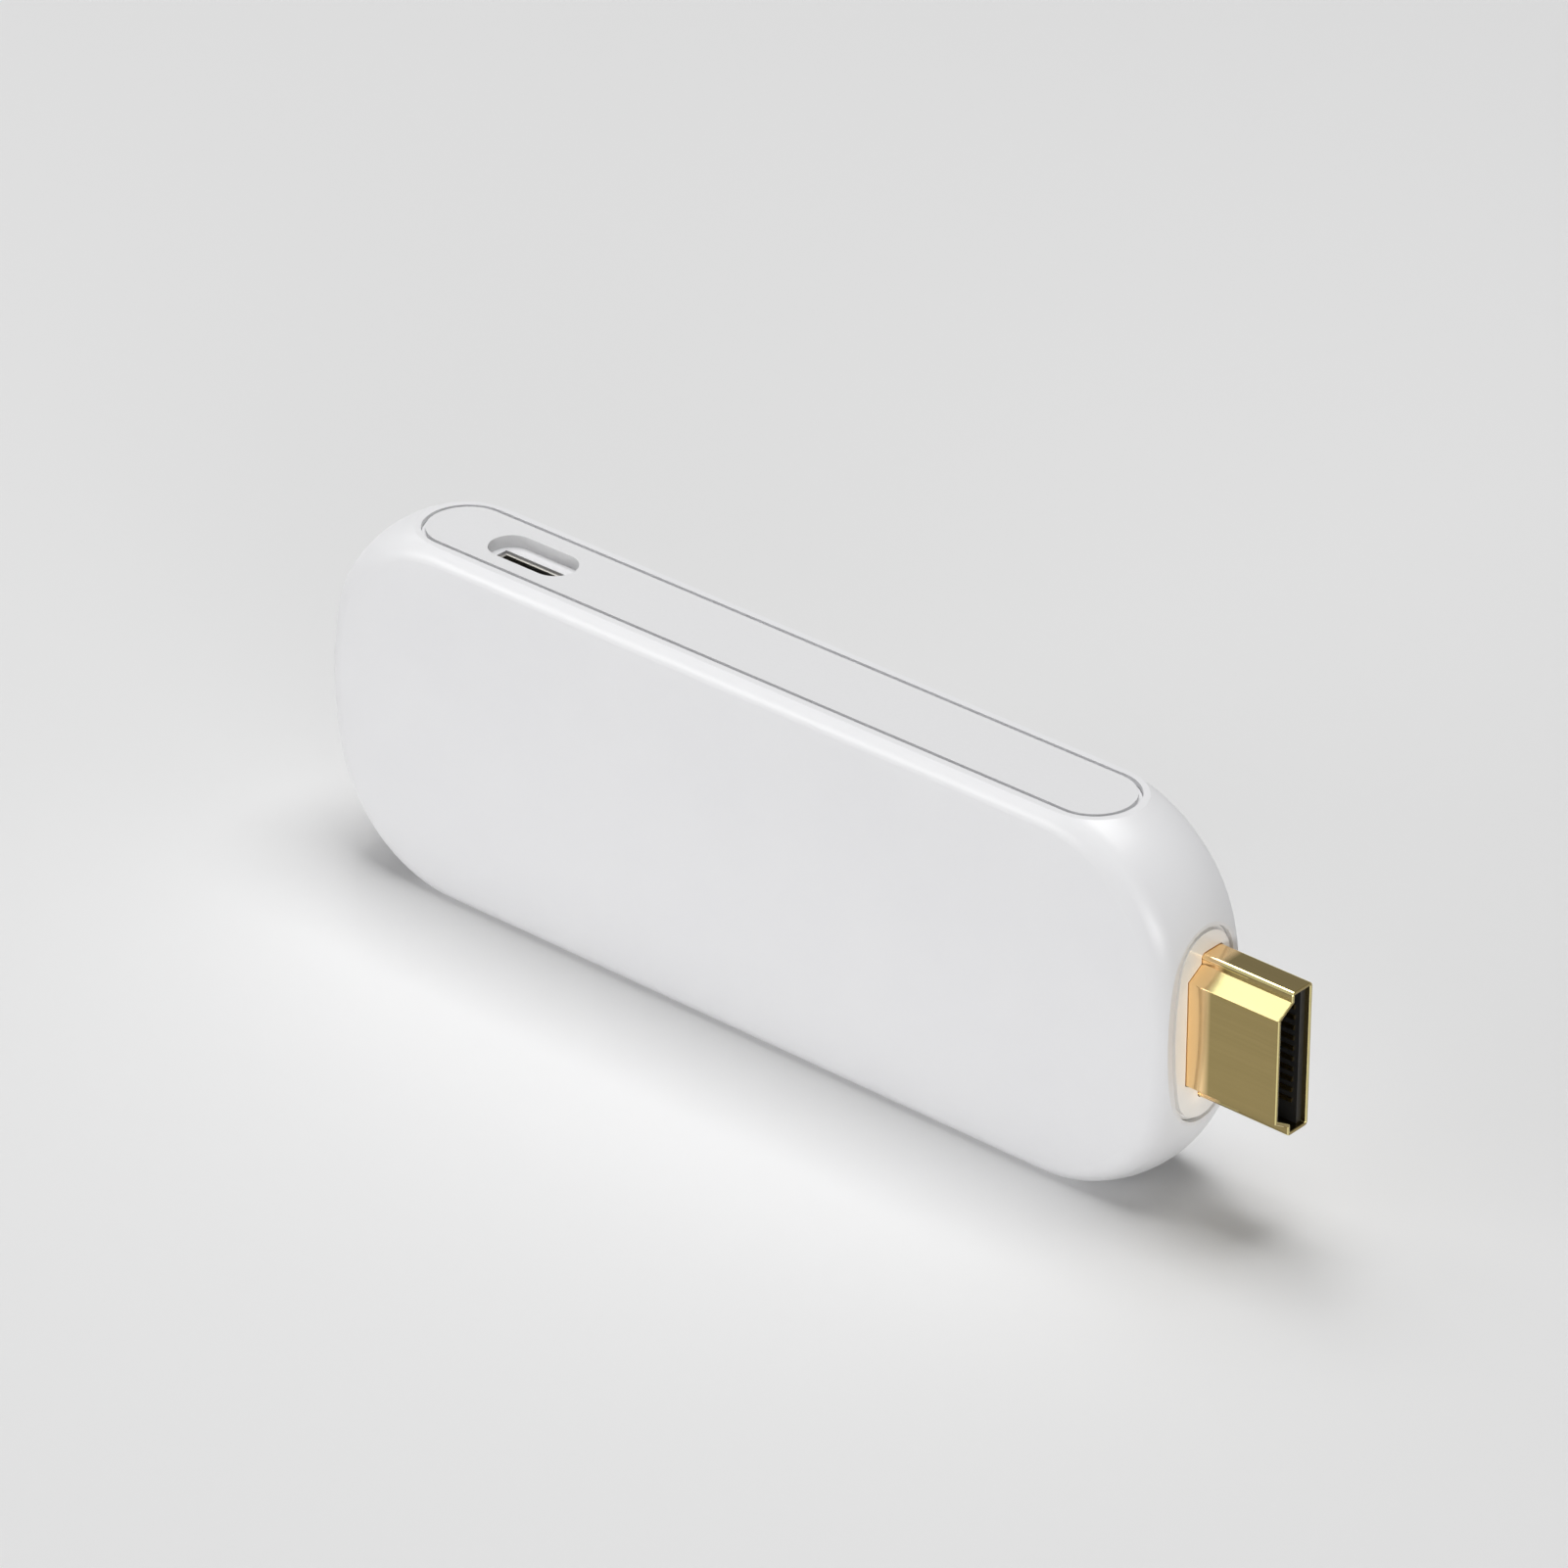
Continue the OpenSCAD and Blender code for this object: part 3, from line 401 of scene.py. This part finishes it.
# Printed silver 0.35 mm wide on a pitch of 0.9 mm, on white alumina.
alumina, place = new_material("alumina_white_with_silver_print")
speck = node(alumina, "TexNoise", {"Scale": 1000 / 0.2, "Detail": 2.0}, {"Vector": place})
body = node(alumina, "Mix", {"data_type": "RGBA", 6: linear("e2ded4"), 7: linear("ece8df")},
            {0: speck.outputs["Fac"]})
low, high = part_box("wifi_antenna")
axes = node(alumina, "SeparateXYZ", links={"Vector": place})
steps = node(alumina, "Math", {"operation": "MULTIPLY", 1: 1000 / 0.9}, {0: axes.outputs["Z"]})
phase = node(alumina, "Math", {"operation": "FRACT"}, {0: steps.outputs[0]})
print_line = node(alumina, "Math", {"operation": "GREATER_THAN", 1: 0.6}, {0: phase.outputs[0]})
offset = node(alumina, "Math", {"operation": "SUBTRACT", 1: (low[2] + high[2]) / 2}, {0: axes.outputs["Z"]})
reach = node(alumina, "Math", {"operation": "ABSOLUTE"}, {0: offset.outputs[0]})
end = node(alumina, "Math", {"operation": "GREATER_THAN", 1: 0.0034}, {0: reach.outputs[0]})
silver = node(alumina, "Math", {"operation": "MAXIMUM"}, {0: print_line.outputs[0], 1: end.outputs[0]})
tint = node(alumina, "Mix", {"data_type": "RGBA", 7: linear("c8c7c3")},
            {0: silver.outputs[0], 6: body.outputs[2]})
finish(alumina, ["wifi_antenna"], node(
    alumina, "BsdfPrincipled", {"IOR": 1.76, "Roughness": 0.35}, {"Base Color": tint.outputs[2]}))


# COOLING
# A soft pad of ceramic-filled silicone lies on the processor, and carries its heat to a plate of
# aluminium whose four folded legs are soldered to the board.
silicone, place = new_material("silicone_blue_filled")
filler = node(silicone, "TexNoise", {"Scale": 1000 / 0.25, "Detail": 4.0}, {"Vector": place})
tint = node(silicone, "Mix", {"data_type": "RGBA", 6: linear("6f9fb5"), 7: linear("86b3c6")},
            {0: filler.outputs["Fac"]})
relief = node(silicone, "Bump", {"Strength": 0.5, "Distance": 0.00003}, {"Height": filler.outputs["Fac"]})
finish(silicone, ["thermal_pad"], node(
    silicone, "BsdfPrincipled", {"IOR": 1.41, "Roughness": 0.65},
    {"Base Color": tint.outputs[2], "Normal": relief.outputs["Normal"]}))

# Brushed along its length: lines 0.2 mm apart that spread the light across them.
brushed, place = new_material("aluminium_brushed")
along = node(brushed, "Mapping", {"Scale": (30.0, 1000 / 0.2, 1000 / 0.2)}, {"Vector": place})
lines = node(brushed, "TexNoise", {"Scale": 1.0, "Detail": 3.0}, {"Vector": along.outputs["Vector"]})
tint = node(brushed, "Mix", {"data_type": "RGBA", 6: linear("c2c3c5"), 7: linear("d9dadc")},
            {0: lines.outputs["Fac"]})
gloss = node(brushed, "MapRange", {"To Min": 0.28, "To Max": 0.45}, {"Value": lines.outputs["Fac"]})
relief = node(brushed, "Bump", {"Strength": 0.25, "Distance": 0.00002}, {"Height": lines.outputs["Fac"]})
finish(brushed, ["heat_spreader"], node(
    brushed, "BsdfPrincipled", {"Metallic": 1.0},
    {"Base Color": tint.outputs[2], "Roughness": gloss.outputs["Result"],
     "Normal": relief.outputs["Normal"]}))


# BOARD SCREWS
# Four thread-forming screws of zinc-plated steel with cross recesses. Their rolled threads, 0.7 mm
# apart, bite in the bosses of the housing.
zinc, place = new_material("zinc_plate_on_steel")
mottle = node(zinc, "TexNoise", {"Scale": 1000 / 0.5, "Detail": 3.0}, {"Vector": place})
tint = node(zinc, "Mix", {"data_type": "RGBA", 6: linear("aeb2b6"), 7: linear("c5c8cb")},
            {0: mottle.outputs["Fac"]})
axes = node(zinc, "SeparateXYZ", links={"Vector": place})
turns = node(zinc, "Math", {"operation": "MULTIPLY", 1: 1000 / 0.7}, {0: axes.outputs["Y"]})
thread = node(zinc, "Math", {"operation": "PINGPONG", 1: 0.5}, {0: turns.outputs[0]})
shank = node(zinc, "Math", {"operation": "LESS_THAN", 1: -0.0005}, {0: axes.outputs["Y"]})
height = node(zinc, "Math", {"operation": "MULTIPLY"}, {0: thread.outputs[0], 1: shank.outputs[0]})
relief = node(zinc, "Bump", {"Strength": 0.9, "Distance": 0.0003}, {"Height": height.outputs[0]})
finish(zinc, ["board_screws"], node(
    zinc, "BsdfPrincipled", {"Metallic": 1.0, "Roughness": 0.3},
    {"Base Color": tint.outputs[2], "Normal": relief.outputs["Normal"]}))


# STUDIO
# A pale seamless floor and soft boxes. Two overhead and one behind throw the short shadow in front,
# low ones on both sides light the broad face and the plug's end, and two at the left stand where the
# upper edge and the plug's slant mirror them. The walls light nothing but show in glossy surfaces. The
# camera stands where the photograph's did, as the corners of the plug and the housing give it.
azimuth, elevation, distance = math.radians(41.403), math.radians(29.62), 0.717425
right = Vector((math.cos(azimuth), math.sin(azimuth), 0))
back = Vector((math.sin(azimuth) * math.cos(elevation), -math.cos(azimuth) * math.cos(elevation),
               math.sin(elevation)))
up = back.cross(right)
body_middle = Vector((0, 0, 0.0176))
aside, above = 0.001053, 0.004287
eye = body_middle + right * aside + up * above + back * distance
camera = bpy.data.objects.new("camera", bpy.data.cameras.new("camera"))
camera.data.sensor_width = 36
camera.data.lens = 190.34
camera.data.clip_start, camera.data.clip_end = 0.05, 20
camera.matrix_world = Matrix((right, up, back)).transposed().to_4x4()
camera.location = eye
bpy.context.scene.collection.objects.link(camera)
bpy.context.scene.camera = camera

floor_mesh = bpy.data.meshes.new("floor")
reach = 3
floor_mesh.from_pydata([(-reach, -reach, 0), (reach, -reach, 0), (reach, reach, 0), (-reach, reach, 0)],
                       [], [(0, 1, 2, 3)])
floor = bpy.data.objects.new("floor", floor_mesh)
bpy.context.scene.collection.objects.link(floor)
paper = bpy.data.materials.new("paper_pale_grey")
paper.use_nodes = True
paper.node_tree.nodes.clear()
sheet = node(paper, "BsdfDiffuse", {"Color": linear("ededed")})
node(paper, "OutputMaterial", links={"Surface": sheet.outputs["BSDF"]})
floor.data.materials.append(paper)


def soft_box(name, place, size, watts):
    """A rectangular area lamp that faces the middle of the stick."""
    lamp = bpy.data.lights.new(name, "AREA")
    lamp.shape, lamp.size, lamp.size_y = "RECTANGLE", size[0], size[1]
    lamp.energy = watts
    made = bpy.data.objects.new(name, lamp)
    made.location = place
    made.rotation_mode = "QUATERNION"
    made.rotation_quaternion = (lamp_aim - Vector(place)).to_track_quat("-Z", "Y")
    bpy.context.scene.collection.objects.link(made)


lamp_aim = Vector((0, 0, 0.018))
soft_box("top_box", (0.0, -0.07, 0.95), (0.6, 0.2), 2.2)
soft_box("back_box", (0.0, 0.17, 0.93), (0.7, 0.32), 3.9)
soft_box("back_left_box", (-0.45, 0.20, 0.80), (0.4, 0.4), 1.3)
soft_box("slant_box", (-0.52, -0.13, 0.74), (0.28, 0.28), 0.25)
soft_box("edge_box", (-0.52, -0.62, 0.42), (0.3, 0.3), 0.5)
soft_box("front_left_box", (-0.56, -0.76, 0.12), (0.5, 0.16), 2.5)
soft_box("right_box", (0.80, -0.45, 0.22), (0.5, 0.3), 1.2)
soft_box("front_right_box", (0.70, -0.62, 0.14), (0.5, 0.2), 1.9)

world = bpy.data.worlds.new("surround")
world.use_nodes = True
bpy.context.scene.world = world
world.node_tree.nodes.clear()
rays = node(world, "LightPath")
seen = node(world, "Math", {"operation": "MAXIMUM"},
            {0: rays.outputs["Is Camera Ray"], 1: rays.outputs["Is Glossy Ray"]})
level = node(world, "Math", {"operation": "MULTIPLY", 1: 0.5}, {0: seen.outputs[0]})
walls = node(world, "Background", {"Color": (1, 1, 1, 1)}, {"Strength": level.outputs[0]})
node(world, "OutputWorld", links={"Surface": walls.outputs["Background"]})

bpy.context.scene.view_settings.view_transform = "Standard"
